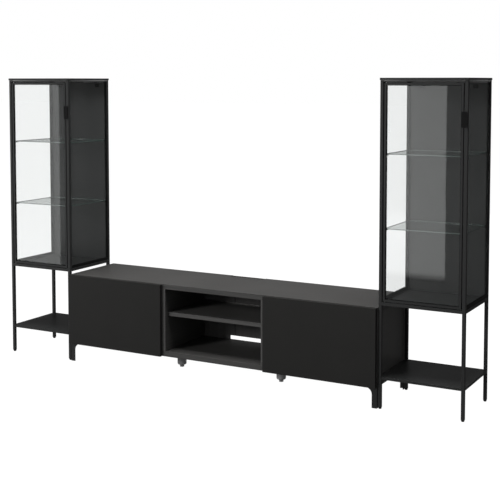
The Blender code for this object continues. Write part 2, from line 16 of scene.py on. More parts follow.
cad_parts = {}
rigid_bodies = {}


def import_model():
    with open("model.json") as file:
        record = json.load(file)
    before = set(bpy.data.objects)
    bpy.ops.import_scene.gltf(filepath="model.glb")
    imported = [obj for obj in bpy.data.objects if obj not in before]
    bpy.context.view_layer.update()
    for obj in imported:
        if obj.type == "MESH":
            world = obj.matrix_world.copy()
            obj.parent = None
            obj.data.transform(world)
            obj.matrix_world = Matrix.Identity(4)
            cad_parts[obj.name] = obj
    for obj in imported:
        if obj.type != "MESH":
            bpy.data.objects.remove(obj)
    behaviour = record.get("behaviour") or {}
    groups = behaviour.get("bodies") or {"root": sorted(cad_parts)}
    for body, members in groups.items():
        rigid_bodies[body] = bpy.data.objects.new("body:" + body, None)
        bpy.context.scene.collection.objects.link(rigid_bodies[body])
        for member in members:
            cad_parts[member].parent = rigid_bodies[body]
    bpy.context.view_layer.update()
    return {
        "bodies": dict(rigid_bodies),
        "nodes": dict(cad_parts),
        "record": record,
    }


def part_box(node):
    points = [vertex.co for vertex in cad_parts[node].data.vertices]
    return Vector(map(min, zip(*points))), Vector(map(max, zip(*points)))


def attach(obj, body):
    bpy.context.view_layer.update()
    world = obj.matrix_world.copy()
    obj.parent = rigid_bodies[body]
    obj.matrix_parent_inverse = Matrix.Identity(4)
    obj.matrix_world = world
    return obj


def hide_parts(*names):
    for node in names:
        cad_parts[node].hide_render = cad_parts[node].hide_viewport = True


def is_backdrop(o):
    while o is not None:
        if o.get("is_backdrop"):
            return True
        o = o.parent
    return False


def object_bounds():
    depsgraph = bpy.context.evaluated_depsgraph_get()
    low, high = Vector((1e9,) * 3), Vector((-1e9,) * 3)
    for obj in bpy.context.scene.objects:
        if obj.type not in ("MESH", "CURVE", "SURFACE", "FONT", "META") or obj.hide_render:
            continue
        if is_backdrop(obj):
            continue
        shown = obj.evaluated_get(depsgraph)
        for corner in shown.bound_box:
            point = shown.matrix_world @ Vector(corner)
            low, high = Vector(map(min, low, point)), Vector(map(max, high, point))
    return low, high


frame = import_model()

# %% [markdown]
# ## Camera
#
# The furniture is seen from the right, from just below the lids' height, with a long lens so
# that uprights stay nearly parallel. A view camera would be levelled and its film shifted
# down. Here part of that shift is traded for a tilt of under four degrees, which keeps the
# whole object in the picture when the camera is moved to another side.

# %% Camera
SENSOR_WIDTH = 36.0
FOCAL_LENGTH = 76.3
CAMERA_PLACE = (2.7267, -4.7584, 1.5326)
CAMERA_TILT = math.radians(3.75)
CAMERA_TURN = math.radians(28.737)
CAMERA_SHIFT = -0.198

camera_data = bpy.data.cameras.new("studio_camera")
camera_data.sensor_width = SENSOR_WIDTH
camera_data.lens = FOCAL_LENGTH
camera_data.shift_y = CAMERA_SHIFT
camera = bpy.data.objects.new("studio_camera", camera_data)
camera.location = CAMERA_PLACE
camera.rotation_euler = (math.radians(90) - CAMERA_TILT, 0.0, CAMERA_TURN)
bpy.context.scene.collection.objects.link(camera)
bpy.context.scene.camera = camera
print("camera", round(math.degrees(2 * math.atan(SENSOR_WIDTH / 2 / FOCAL_LENGTH)), 1), "degrees wide")

# %% [markdown]
# ## Shader arithmetic
#
# A surface that varies is arithmetic on numbers that change from point to point. Wiring that
# by hand takes dozens of nodes, so one small class stands for a socket and turns +, -, *, /
# and ** into Math nodes. A second class keeps one finish together and adds any other node
# with a single method: its type, its settings, then the values or links of its sockets.


# %% Values and finishes
# A Mix node keeps its colour sockets behind those for numbers and vectors.
MIX_SHARE, MIX_FIRST, MIX_SECOND, MIX_COLOUR = 0, 6, 7, 2


class Value:
    """A number or colour that changes over a surface: one output socket of a finish."""

    def __init__(self, finish, socket):
        self.finish, self.socket = finish, socket

    def math(self, operation, *values):
        return self.finish.node("ShaderNodeMath", {"operation": operation}, dict(enumerate(values)))

    def __add__(self, other):
        return self.math("ADD", self, other)

    def __sub__(self, other):
        return self.math("SUBTRACT", self, other)

    def __rsub__(self, other):
        return self.math("SUBTRACT", other, self)

    def __mul__(self, other):
        return self.math("MULTIPLY", self, other)

    def __truediv__(self, other):
        return self.math("DIVIDE", self, other)

    def __pow__(self, other):
        return self.math("POWER", self, other)

    __radd__ = __add__
    __rmul__ = __mul__

    def clamped(self):
        return self.math("MINIMUM", self.math("MAXIMUM", self, 0.0), 1.0)


class Finish:
    """One material under construction."""

    def __init__(self, name, owner=None):
        self.material = owner or bpy.data.materials.new(name)
        self.material.use_nodes = True
        self.tree = self.material.node_tree
        self.tree.nodes.clear()

    def node(self, kind, settings, inputs, output=0):
        made = self.tree.nodes.new(kind)
        for key, value in settings.items():
            setattr(made, key, value)
        for key, value in inputs.items():
            if isinstance(value, Value):
                self.tree.links.new(value.socket, made.inputs[key])
            else:
                made.inputs[key].default_value = value
        return Value(self, made.outputs[output])

    def place(self, stretch=(1.0, 1.0, 1.0)):
        """The point on the piece in metres, stretched by a factor along each axis."""
        point = self.node("ShaderNodeTexCoord", {}, {}, "Object")
        return self.node("ShaderNodeVectorMath", {"operation": "MULTIPLY"}, {0: point, 1: stretch})

    def noise(self, where, scale, detail, roughness=0.5):
        inputs = {"Vector": where, "Scale": scale, "Detail": detail, "Roughness": roughness}
        return self.node("ShaderNodeTexNoise", {}, inputs, "Fac")

    def blend_colours(self, share, first, second):
        inputs = {MIX_SHARE: share, MIX_FIRST: (*first, 1.0), MIX_SECOND: (*second, 1.0)}
        return self.node("ShaderNodeMix", {"data_type": "RGBA"}, inputs, MIX_COLOUR)

    def bump(self, height, distance, strength):
        inputs = {"Height": height, "Distance": distance, "Strength": strength}
        return self.node("ShaderNodeBump", {}, inputs, "Normal")

    def surface(self, **inputs):
        named = {key.replace("_", " "): value for key, value in inputs.items()}
        return self.node("ShaderNodeBsdfPrincipled", {}, named)

    def done(self, shader):
        end = self.tree.nodes.new("ShaderNodeOutputMaterial")
        self.tree.links.new(shader.socket, end.inputs["Surface"])
        return self.material


print("shader helpers ready")

# %% [markdown]
# ## Black-brown board
#
# The bench is particleboard in a printed foil: nearly black, a little brown, with a shallow
# embossed grain that runs along the board. A picture of wood would be one way to make it.
# Stretched noise is better here, because it stays sharp at any distance: a coarse layer gives
# the streaks of the print, and a fine layer gives the pores that the emboss presses in. The
# upright boards and the shelf stand in shade, so their colour is painted a little paler than
# the top's. This painted light makes up for the shade and keeps their grain readable.


# %% Board finish
PORE_FINENESS = 4.0
CLOUDS_PER_METRE = 3.0
EMBOSS_DEPTH = 0.00012


def board_finish(name, dark, light, stretch, roughness):
    """Streaks and pores run along the axis that is stretched least."""
    finish = Finish(name)
    streaks = finish.noise(finish.place(stretch), 1.0, 5.0, 0.6)
    pores = finish.noise(finish.place(tuple(v * PORE_FINENESS for v in stretch)), 1.0, 2.0, 0.7)
    cloud = finish.noise(finish.place(), CLOUDS_PER_METRE, 2.0)
    share = ((streaks - 0.35) * 1.8 + (cloud - 0.5) * 0.5).clamped()
    colour = finish.blend_colours(share, dark, light)
    sheen = pores * 0.10 + streaks * 0.06 + (roughness - 0.08)
    relief = finish.bump(streaks * 0.6 + pores * 0.8, EMBOSS_DEPTH, 0.5)
    return finish.done(
        finish.surface(Base_Color=colour, Roughness=sheen, Normal=relief, Specular_IOR_Level=0.5)
    )


ALONG_X = (3.0, 260.0, 260.0)
ALONG_Z = (260.0, 260.0, 3.0)
ALONG_Y = (260.0, 3.0, 260.0)
BOARD_DARK = Vector((0.0335, 0.0328, 0.0318))
BOARD_LIGHT = Vector((0.0630, 0.0618, 0.0600))
# Painted light: the upright boards and the shelf are painted this much paler, to make up for the shade that
# they stand in.
PAINTED_LIGHT_LIFT = 1.35
LIFTED_BOARD_DARK, LIFTED_BOARD_LIGHT = BOARD_DARK * PAINTED_LIGHT_LIFT, BOARD_LIGHT * PAINTED_LIGHT_LIFT
THIN_DARK = (0.044, 0.0425, 0.0415)
THIN_LIGHT = (0.074, 0.0720, 0.0705)
FOIL_ROUGHNESS = 0.42
RAW_ROUGHNESS = 0.55

board_along = board_finish("board grain lengthwise", BOARD_DARK, BOARD_LIGHT, ALONG_X, FOIL_ROUGHNESS)
board_across_painted_paler = board_finish("board grain front to back, painted paler for shade", LIFTED_BOARD_DARK, LIFTED_BOARD_LIGHT, ALONG_Y, FOIL_ROUGHNESS)
board_shelf_painted_paler = board_finish("shelf grain lengthwise, painted paler for shade", LIFTED_BOARD_DARK, LIFTED_BOARD_LIGHT, ALONG_X, FOIL_ROUGHNESS)
board_thin = board_finish("thin back board", THIN_DARK, THIN_LIGHT, ALONG_Z, RAW_ROUGHNESS)
print("board finishes:", board_along.name, board_across_painted_paler.name, board_shelf_painted_paler.name, board_thin.name)

# %% [markdown]
# ## Door foil
#
# The doors are smoother and blacker than the carcass. The foil is plain, with the very slight
# unevenness that a pressed foil always has. Broad, low noise bends the highlight by a hair,
# and a fine one keeps the sheen from looking like paint on glass.


# %% Door finish
DOOR_DARK = (0.0120, 0.0118, 0.0112)
DOOR_LIGHT = (0.0148, 0.0145, 0.0138)
WAVES_PER_METRE = 9.0
SPECKS_PER_METRE = 900.0
FOIL_RELIEF = 0.00005


def door_finish():
    finish = Finish("door foil")
    broad = finish.noise(finish.place(), WAVES_PER_METRE, 3.0)
    fine = finish.noise(finish.place((1.0, 1.0, 0.25)), SPECKS_PER_METRE, 2.0)
    colour = finish.blend_colours(broad, DOOR_DARK, DOOR_LIGHT)
    sheen = broad * 0.05 + fine * 0.06 + 0.40
    relief = finish.bump(fine * 0.5 + broad * 2.0, FOIL_RELIEF, 0.5)
    return finish.done(
        finish.surface(Base_Color=colour, Roughness=sheen, Normal=relief, Specular_IOR_Level=0.25)
    )


door_foil = door_finish()
print("door finish:", door_foil.name)

# %% [markdown]
# ## Powder coat
#
# Tubes, sheets and legs are steel under a black powder coat. Powder melts into a skin with a
# fine orange-peel texture, so the highlight breaks up at about a millimetre. Two layers of
# noise make it: one for the peel, one for the slow change in gloss over a long tube. The
# backs of the cabinets take a paler copy of the same coat. This is painted light, which makes
# them brighter than the lamps alone light them.


# %% Powder coat finish
PEEL_PER_METRE = 620.0
PEEL_DEPTH = 0.00010
COAT_ROUGHNESS = 0.42


def powder_finish(name, dark, light):
    finish = Finish(name)
    peel = finish.noise(finish.place(), PEEL_PER_METRE, 3.0, 0.6)
    slow = finish.noise(finish.place(), 5.0, 2.0)
    colour = finish.blend_colours(peel * 0.4 + slow * 0.6, dark, light)
    sheen = peel * 0.12 + slow * 0.06 + (COAT_ROUGHNESS - 0.09)
    relief = finish.bump(peel, PEEL_DEPTH, 0.45)
    return finish.done(
        finish.surface(Base_Color=colour, Roughness=sheen, Normal=relief, Specular_IOR_Level=0.35)
    )


powder_coat = powder_finish("black powder coat", (0.013, 0.0135, 0.0135), (0.020, 0.0205, 0.0205))
# Painted light: the backs take a paler copy of the coat, so they read brighter than the lamps make them.
back_coat_painted_paler = powder_finish(
    "black powder coat painted paler on the backs", (0.022, 0.0225, 0.0225), (0.032, 0.0325, 0.0325)
)
print("steel finishes:", powder_coat.name, back_coat_painted_paler.name)

# %% [markdown]
# ## Clear glass
#
# A pane lets light through almost unchanged and mirrors more of it at a glancing angle. A
# refracting shader would be truer at the edges but would throw the inside of each cabinet
# into noisy shade. Thin flat glass hardly bends light, so a mix of a see-through shader and a
# glossy one does the same with less work. The share of gloss rises steeply with the angle, as
# on real glass. Cut edges are deeper in colour, because light runs the length of the sheet
# before it comes out there.


# %% Glass finish
GLANCING_MIRROR = 0.5
HEAD_ON_MIRROR = 0.03
MIRROR_POWER = 6.0
MIRROR_TINT = (0.95, 0.97, 0.96, 1.0)
SMEARS_PER_METRE = 7.0
EDGE_COLOUR = (0.055, 0.085, 0.075, 1.0)
EDGE_START = 0.4
EDGE_GAIN = 1.35


def glass_finish(name, tint, edge_axes=None):
    finish = Finish(name)
    facing = finish.node("ShaderNodeLayerWeight", {}, {"Blend": 0.5}, "Facing")
    smear = finish.noise(finish.place(), SMEARS_PER_METRE, 3.0)
    mirror = facing**MIRROR_POWER * GLANCING_MIRROR + HEAD_ON_MIRROR
    clear = finish.node("ShaderNodeBsdfTransparent", {}, {"Color": (*tint, 1.0)})
    sheen = {"Color": MIRROR_TINT, "Roughness": smear * 0.02 + 0.01}
    gloss = finish.node("ShaderNodeBsdfGlossy", {}, sheen)
    body = finish.node("ShaderNodeMixShader", {}, {0: mirror, 1: clear, 2: gloss})
    if edge_axes:
        normal = finish.node("ShaderNodeNewGeometry", {}, {}, "Normal")
        across = finish.node("ShaderNodeVectorMath", {"operation": "MULTIPLY"}, {0: normal, 1: edge_axes})
        length = finish.node("ShaderNodeVectorMath", {"operation": "LENGTH"}, {0: across}, "Value")
        edge = finish.surface(Base_Color=EDGE_COLOUR, Roughness=0.12, Specular_IOR_Level=0.6)
        share = (length - EDGE_START).clamped() * EDGE_GAIN
        body = finish.node("ShaderNodeMixShader", {}, {0: share, 1: body, 2: edge})
    return finish.done(body)


upright_glass = glass_finish("clear glass upright", (0.964, 0.968, 0.967))
shelf_glass = glass_finish("clear glass shelf", (0.965, 0.978, 0.974), (1.0, 1.0, 0.0))
print("glass finishes:", upright_glass.name, shelf_glass.name)

# %% [markdown]
# ## Plated and moulded small parts
#
# Hinges are nickel-plated pressed steel, brushed by the tool that formed them. The middle
# feet are grey moulded plastic, and latches, tips and glazing beads are black plastic. Moulded
# plastic has a spark-eroded grain, so a small cellular pattern suits it better than noise.


# %% Metal and plastic finishes
BRUSH_STRETCH = (40.0, 900.0, 900.0)
BRUSH_DEPTH = 0.00003
SPARKS_PER_METRE = 1400.0
SPARK_DEPTH = 0.00006


def nickel_finish():
    finish = Finish("nickel plate")
    brushed = finish.noise(finish.place(BRUSH_STRETCH), 1.0, 3.0)
    colour = finish.blend_colours(brushed, (0.42, 0.42, 0.41), (0.56, 0.56, 0.55))
    relief = finish.bump(brushed, BRUSH_DEPTH, 0.4)
    return finish.done(
        finish.surface(Base_Color=colour, Metallic=1.0, Roughness=brushed * 0.14 + 0.22, Normal=relief)
    )


def plastic_finish(name, dark, light, roughness, shine):
    finish = Finish(name)
    cells = {"Vector": finish.place(), "Scale": SPARKS_PER_METRE}
    grain = finish.node("ShaderNodeTexVoronoi", {}, cells, "Distance")
    slow = finish.noise(finish.place(), 30.0, 2.0)
    colour = finish.blend_colours(slow, dark, light)
    relief = finish.bump(grain, SPARK_DEPTH, 0.35)
    sheen = grain * 0.10 + (roughness - 0.04)
    return finish.done(
        finish.surface(Base_Color=colour, Roughness=sheen, Normal=relief, Specular_IOR_Level=shine)
    )


nickel = nickel_finish()
grey_plastic = plastic_finish(
    "grey moulded plastic", (0.24, 0.24, 0.245), (0.30, 0.30, 0.305), 0.36, 0.5
)
black_plastic = plastic_finish(
    "black moulded plastic", (0.004, 0.004, 0.004), (0.007, 0.007, 0.007), 0.55, 0.15
)
print("small-part finishes:", nickel.name, grey_plastic.name, black_plastic.name)

# %% [markdown]
# ## Finishes on the frame's own pieces
#
# The record says which finish each node has, so the nodes are dressed by that word. Boards
# that stand across the bench get their grain front to back instead of lengthwise, in the colour
# painted paler for their shade. The door grips are dressed in the plastic's deeper black, which
# is painted shade for the shade under their folded lip.

# %% Dress the nodes
BY_SLOT = {
    "black_brown_board": board_along,
    "thin_back_board": board_thin,
    "black_door_foil": door_foil,
    "black_powder_coat": powder_coat,
    "clear_glass": upright_glass,
    "nickel_plate": nickel,
    "grey_plastic": grey_plastic,
    "black_plastic": black_plastic,
}
slot_of = {entry["node"]: entry["material_slot"] for entry in frame["record"]["subparts"]}


def dress(node, finish):
    slots = frame["nodes"][node].data.materials
    slots.clear()
    slots.append(finish)


for node, slot in slot_of.items():
    finish = BY_SLOT[slot]
    if slot == "black_brown_board" and ("side" in node or "partition" in node):
        finish = board_across_painted_paler
    if node == "bench_centre_shelf":
        finish = board_shelf_painted_paler
    if node.endswith("glass_shelf"):
        finish = shelf_glass
    if node.endswith("cabinet_back_panel"):
        finish = back_coat_painted_paler
    # Painted shade: the grips take the plastic's deeper black for the shade under their folded lip.
    if node.endswith("glass_door_grip"):
        finish = black_plastic
    dress(node, finish)
print("dressed", len(slot_of), "nodes")

# %% [markdown]
# ## Building small fittings
#
# Three helpers make every fitting. A block is a cube scaled to two corners with its edges
# rounded, because no real edge is perfectly sharp. A ring is a flat rectangular frame: four
# outer and four inner corners on two faces, joined all round into one closed skin. A lathe
# turns a profile round an axis.

# %% Piece helpers
ROOT = next(body for body in frame["bodies"] if "frames" in body)
SMOOTH_ANGLE = math.radians(35)
EDGE_SEGMENTS = 2
BLOCK_EDGE = 0.0006
RING_EDGE = 0.0004
TURNED_SIDES = 48
REST_GAP = 0.0003  # between a fitting and the piece that it lies on


def finish_piece(name, shape, finish, body, edge=0.0, smooth=False):
    mesh = bpy.data.meshes.new(name)
    bmesh.ops.recalc_face_normals(shape, faces=shape.faces)
    shape.to_mesh(mesh)
    shape.free()
    mesh.materials.append(finish)
    if smooth:
        mesh.shade_smooth()
        mesh.set_sharp_from_angle(angle=SMOOTH_ANGLE)
    piece = bpy.data.objects.new(name, mesh)
    bpy.context.scene.collection.objects.link(piece)
    if edge:
        bevel = piece.modifiers.new("edges", "BEVEL")
        bevel.width = edge
        bevel.segments = EDGE_SEGMENTS
        bevel.limit_method = "ANGLE"
    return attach(piece, body)


def block(name, low, high, finish, body, edge=BLOCK_EDGE):
    low, high = Vector(low), Vector(high)
    shape = bmesh.new()
    bmesh.ops.create_cube(shape, size=1.0)
    place = Matrix.Translation((low + high) / 2) @ Matrix.Diagonal((*(high - low), 1.0))
    bmesh.ops.transform(shape, matrix=place, verts=shape.verts)
    return finish_piece(name, shape, finish, body, edge)


def ring(name, outer, inner, depth, flat_axis, finish, body, edge=RING_EDGE):
    """outer and inner are (low a, low b, high a, high b) in the two axes other than flat_axis."""

    def corners(rectangle, level):
        a0, b0, a1, b1 = rectangle
        for a, b in ((a0, b0), (a1, b0), (a1, b1), (a0, b1)):
            point = [a, b]
            point.insert(flat_axis, level)
            yield point

    near, far = depth
    shape = bmesh.new()
    loops = [
        [shape.verts.new(p) for p in corners(rectangle, level)]
        for rectangle, level in ((outer, near), (inner, near), (inner, far), (outer, far))
    ]
    for first, second in zip(loops, loops[1:] + loops[:1]):
        for i in range(len(first)):
            j = (i + 1) % len(first)
            shape.faces.new((first[i], first[j], second[j], second[i]))
    return finish_piece(name, shape, finish, body, edge)


def lathe(name, profile, centre, axis, finish, body, sides=TURNED_SIDES):
    """A solid turned from (radius, distance along the axis) points; both ends lie on the axis."""
    shape = bmesh.new()
    turn = [2 * math.pi * k / sides for k in range(sides)]
    rings = []
    for radius, height in profile:
        if radius:
            points = [(radius * math.cos(t), radius * math.sin(t), height) for t in turn]
        else:
            points = [(0.0, 0.0, height)]
        rings.append([shape.verts.new(p) for p in points])
    for low, high in zip(rings, rings[1:]):
        for k in range(sides):
            m = (k + 1) % sides
            quad = [low[k % len(low)], low[m % len(low)], high[m % len(high)], high[k % len(high)]]
            face = [v for i, v in enumerate(quad) if v not in quad[:i]]
            shape.faces.new(face)
    aim = Vector((0, 0, 1)).rotation_difference(Vector(axis)).to_matrix().to_4x4()
    bmesh.ops.transform(shape, matrix=Matrix.Translation(centre) @ aim, verts=shape.verts)
    return finish_piece(name, shape, finish, body, 0.0, True)


print("fittings ride on", ROOT)

# %% [markdown]
# ## Glazing beads
#
# The side panes are held by black beads pressed in between the glass and the tubes. The
# bottom bead is tall, because it also hides the clips. A ring with a deeper lower edge makes
# the whole bead in one piece, once on the outside and once on the inside of each pane.

# %% Glazing beads
BEAD_LOW = 0.014
BEAD_SIDE = 0.004
BEAD_DEPTH = 0.0035

for side in ("left", "right"):
    for hand, outward in (("left", -1), ("right", 1)):
        low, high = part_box(f"{side}_cabinet_{hand}_side_glass")
        outer = (low.y, low.z, high.y, high.z)
        inner = (low.y + BEAD_SIDE, low.z + BEAD_LOW, high.y - BEAD_SIDE, high.z - BEAD_SIDE)
        outside, inside = (high.x, low.x) if outward > 0 else (low.x, high.x)
        for label, x, way in (("outer", outside, outward), ("inner", inside, -outward)):
            near, far = x + way * REST_GAP, x + way * (REST_GAP + BEAD_DEPTH)
            ring(
                f"{side}_cabinet_{hand}_{label}_bead", outer, inner, (near, far), 0,
                black_plastic, ROOT,
            )
print("glazing beads: 8")

# %% [markdown]
# ## Door seals
#
# Each glazed door holds its pane in a thin black seal, which shows as a fine dark line inside
# the steel. The seal moves with its door.

# %% Door seals
SEAL = 0.0022
SEAL_EDGE = 0.0003

for side in ("left", "right"):
    low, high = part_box(f"{side}_glass_door_pane")
    outer = (low.x, low.z, high.x, high.z)
    inner = (low.x + SEAL, low.z + SEAL, high.x - SEAL, high.z - SEAL)
    for label, y, way in (("front", low.y, -1), ("back", high.y, 1)):
        near, far = y + way * REST_GAP, y + way * (REST_GAP + SEAL)
        ring(
            f"{side}_glass_door_{label}_seal", outer, inner, (near, far), 1,
            black_plastic, f"{side}_glass_door", SEAL_EDGE,
        )
print("door seals: 4")

# %% [markdown]
# ## Shelf supports
#
# Four small black tabs reach from the posts under each glass shelf, each with a soft grey pad
# so that nothing hard touches the glass.

# %% Shelf supports
TAB_REACH = 0.014
TAB_LENGTH = 0.020
TAB_THICKNESS = 0.0030
TAB_GRIP = 0.006
PAD_RADIUS = 0.0040
PAD_THICKNESS = 0.0012
PAD_SIDES = 20
PAD_PLACE = 0.6  # of the tab's length, from the post
PAD_PROFILE = [
    (0.0, 0.0), (PAD_RADIUS, 0.0), (PAD_RADIUS, PAD_THICKNESS * 0.7),
    (PAD_RADIUS * 0.7, PAD_THICKNESS * 0.9), (0.0, PAD_THICKNESS * 0.9),
]

for side in ("left", "right"):
    front_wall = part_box(f"{side}_cabinet_floor_panel")[0].y
    rear_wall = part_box(f"{side}_cabinet_floor_panel")[1].y
    for level in ("lower", "upper"):
        low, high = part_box(f"{side}_cabinet_{level}_glass_shelf")
        top = low.z - PAD_THICKNESS
        for hand, x, inward in (("left", low.x, 1), ("right", high.x, -1)):
            for end, wall, into in (("front", front_wall, 1), ("rear", rear_wall, -1)):
                name = f"{side}_{level}_shelf_{end}_{hand}"
                xs = sorted((x - inward * TAB_GRIP, x + inward * TAB_REACH))
                ys = sorted((wall, wall + into * TAB_LENGTH))
                block(
                    name + "_tab", (xs[0], ys[0], top - TAB_THICKNESS), (xs[1], ys[1], top),
                    black_plastic, ROOT,
                )
                lathe(
                    name + "_pad", PAD_PROFILE,
                    (x + inward * TAB_REACH / 2, wall + into * TAB_LENGTH * PAD_PLACE, top), (0, 0, 1),
                    grey_plastic, ROOT, PAD_SIDES,
                )
print("shelf tabs: 16")

# %% [markdown]
# ## Wall brackets
#
# High on the inside of each cabinet's back there are two small brackets. A plate lies on the
# back and a ledge stands out from its top, and a screw holds it and ties the cabinet to a wall.

# %% Wall brackets
BRACKET_WIDTH = 0.026
BRACKET_HEIGHT = 0.020
BRACKET_SHEET = 0.0025
BRACKET_DROP = 0.010
BRACKET_PLACES = (0.14, 0.85)  # shares of the back's width
BRACKET_SCREW_DROP = 0.6  # of the bracket's height
SCREW_HEAD = 0.0042
SCREW_SIDES = 24


def screw(name, centre, axis, finish, body, radius=SCREW_HEAD):
    """A domed head with a shallow recess; its outline is in shares of the head's radius."""
    outline = (
        (0.0, 0.0), (1.0, 0.0), (1.0, 0.15), (0.8, 0.42), (0.45, 0.52), (0.40, 0.25), (0.0, 0.22),
    )
    profile = [(radius * across, radius * rise) for across, rise in outline]
    lathe(name, profile, centre, axis, finish, body, SCREW_SIDES)


for side in ("left", "right"):
    low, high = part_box(f"{side}_cabinet_back_panel")
    for number, share in enumerate(BRACKET_PLACES, start=1):
        x = low.x + share * (high.x - low.x)
        face = low.y - REST_GAP
        top = high.z - BRACKET_DROP
        left, right = x - BRACKET_WIDTH / 2, x + BRACKET_WIDTH / 2
        front = face - BRACKET_SHEET
        name = f"{side}_wall_bracket_{number}"
        block(
            name + "_plate", (left, front, top - BRACKET_HEIGHT), (right, face, top),
            black_plastic, ROOT,
        )
        block(
            name + "_ledge", (left, face - BRACKET_WIDTH / 2, top - BRACKET_SHEET), (right, front, top),
            black_plastic, ROOT,
        )
        screw(
            name + "_screw", (x, front, top - BRACKET_HEIGHT * BRACKET_SCREW_DROP), (0, -1, 0),
            black_plastic, ROOT,
        )
print("wall brackets: 4")

# %% [markdown]
# ## Leg glides
#
# Each post of a cabinet ends in a black plastic glide, pressed into the tube. Its end is
# domed, so that the cabinet slides over a rug without catching. A turned dome over the plain
# tapered tip gives that rounded end.

# %% Leg glides
GLIDE_RADIUS = 0.0078
GLIDE_HEIGHT = 0.0075
GLIDE_SIDES = 32
DOME_RISE = GLIDE_HEIGHT * 0.8
DOME_START = 40  # degrees from the axis, where the dome leaves its flat end
DOME_STEPS = 7

for side in ("left", "right"):
    low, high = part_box(f"{side}_cabinet_frame")
    inset = (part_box(f"{side}_cabinet_floor_panel")[0].x - low.x) / 2
    for x_name, x in (("left", low.x + inset), ("right", high.x - inset)):
        for y_name, y in (("front", low.y + inset), ("rear", high.y - inset)):
            dome = [(0.0, 0.0)]
            for step in range(DOME_STEPS):
                along = step / (DOME_STEPS - 1)
                lean = math.radians(DOME_START + (90 - DOME_START) * along)
                rise = DOME_RISE * (1 - math.cos(math.pi / 2 * along))
                dome.append((GLIDE_RADIUS * math.sin(lean), rise))
            dome += [(GLIDE_RADIUS, GLIDE_HEIGHT), (0.0, GLIDE_HEIGHT)]
            lathe(
                f"{side}_cabinet_{y_name}_{x_name}_glide", dome, (x, y, low.z), (0, 0, 1),
                black_plastic, ROOT, GLIDE_SIDES,
            )
print("leg glides: 8")

# %% [markdown]
# ## Door hinges
#
# The bench doors hang on cup hinges, which show when a door is open. In the door there is a
# pressed cup with a rounded rim and a deep hollow. On the side board there is a mounting
# plate, a narrower arm that stands on it, and two screws. Cup and arm replace the plain solids.

# %% Door hinges
CUP_OUTLINE = (  # shares of the cup's radius and of its depth
    (0.0, 0.0), (0.94, 0.0), (1.0, 0.06), (1.0, 1.0), (0.87, 1.0), (0.81, 0.36), (0.76, 0.30), (0.0, 0.30),
)
PLATE_SHEET = 0.0025
PLATE_START = 0.35  # share of the arm's length
ARM_SCREWS = (0.50, 0.82)  # shares of the arm's length
ARM_WAIST = 0.22  # share of the arm's height, taken off above and below
ARM_RISE = 0.80  # share of the plain arm's thickness
ARM_EDGE = 0.0015
ARM_SCREW_HEAD = 0.0030

for side in ("left", "right"):
    for end in ("lower", "upper"):
        low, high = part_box(f"bench_{side}_door_{end}_hinge_cup")
        radius, depth = (high.x - low.x) / 2, high.y - low.y
        profile = [(radius * across, depth * along) for across, along in CUP_OUTLINE]
        centre = ((low.x + high.x) / 2, low.y, (low.z + high.z) / 2)
        cup = lathe(
            f"bench_{side}_{end}_hinge_cup", profile, centre, (0, 1, 0),
            nickel, f"{side}_bench_door",
        )
        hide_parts(f"bench_{side}_door_{end}_hinge_cup")

        low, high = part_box(f"bench_{side}_{end}_hinge_arm")
        wall, inward = (low.x, 1) if side == "left" else (high.x, -1)
        reach, waist = (high.x - low.x) * ARM_RISE, (high.z - low.z) * ARM_WAIST
        plate_face, arm_face = wall + inward * PLATE_SHEET, wall + inward * reach
        plate_start = low.y + PLATE_START * (high.y - low.y)
        block(
            f"bench_{side}_{end}_hinge_plate", (min(wall, plate_face), plate_start, low.z),
            (max(wall, plate_face), high.y, high.z), nickel, ROOT,
        )
        first = plate_face + inward * REST_GAP
        arm = block(
            f"bench_{side}_{end}_hinge_bar", (min(first, arm_face), low.y, low.z + waist),
            (max(first, arm_face), high.y, high.z - waist), nickel, ROOT, ARM_EDGE,
        )
        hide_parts(f"bench_{side}_{end}_hinge_arm")
        for number, share in enumerate(ARM_SCREWS, start=1):
            screw(
                f"bench_{side}_{end}_hinge_screw_{number}",
                (arm_face, low.y + share * (high.y - low.y), (low.z + high.z) / 2),
                (inward, 0, 0), nickel, ROOT, ARM_SCREW_HEAD,
            )
print("hinges: 4")

# %% [markdown]
# ## Joint in the bench's back
#
# The thin back of the open bay comes folded in two leaves, which meet in an upright joint
# about a third of the way from the left. A narrow black tape covers it, above the shelf and
# again below, where it stops at the cable slot.

# %% Back joint
JOINT_WIDTH = 0.0032
JOINT_SHEET = 0.0005
JOINT_SHARE = 0.353
SLOT_TOP = 0.022

back_low, back_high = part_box("bench_centre_back_panel")
shelf_low, shelf_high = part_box("bench_centre_shelf")
bay_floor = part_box("bench_bottom_panel")[1].z
bay_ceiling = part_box("bench_top_panel")[0].z
joint_x = back_low.x + JOINT_SHARE * (back_high.x - back_low.x)
for label, base, top in (
    ("lower", bay_floor + SLOT_TOP, shelf_low.z - REST_GAP),
    ("upper", shelf_high.z + REST_GAP, bay_ceiling - REST_GAP),
):
    block(
        f"bench_back_joint_{label}",
        (joint_x - JOINT_WIDTH / 2, back_low.y - REST_GAP - JOINT_SHEET, base),
        (joint_x + JOINT_WIDTH / 2, back_low.y - REST_GAP, top),
        black_plastic, ROOT, JOINT_SHEET / 5,
    )
print("back joint at x =", round(joint_x, 3))

# %% [markdown]
# ## Middle feet
#
# The long bench sags without support, so two round feet stand under its middle. Each is a
# grey moulded cup with a groove near its top, and a pad on a thin neck stands below it on the
# floor. They replace the plain turned solids and stay close to their outline.

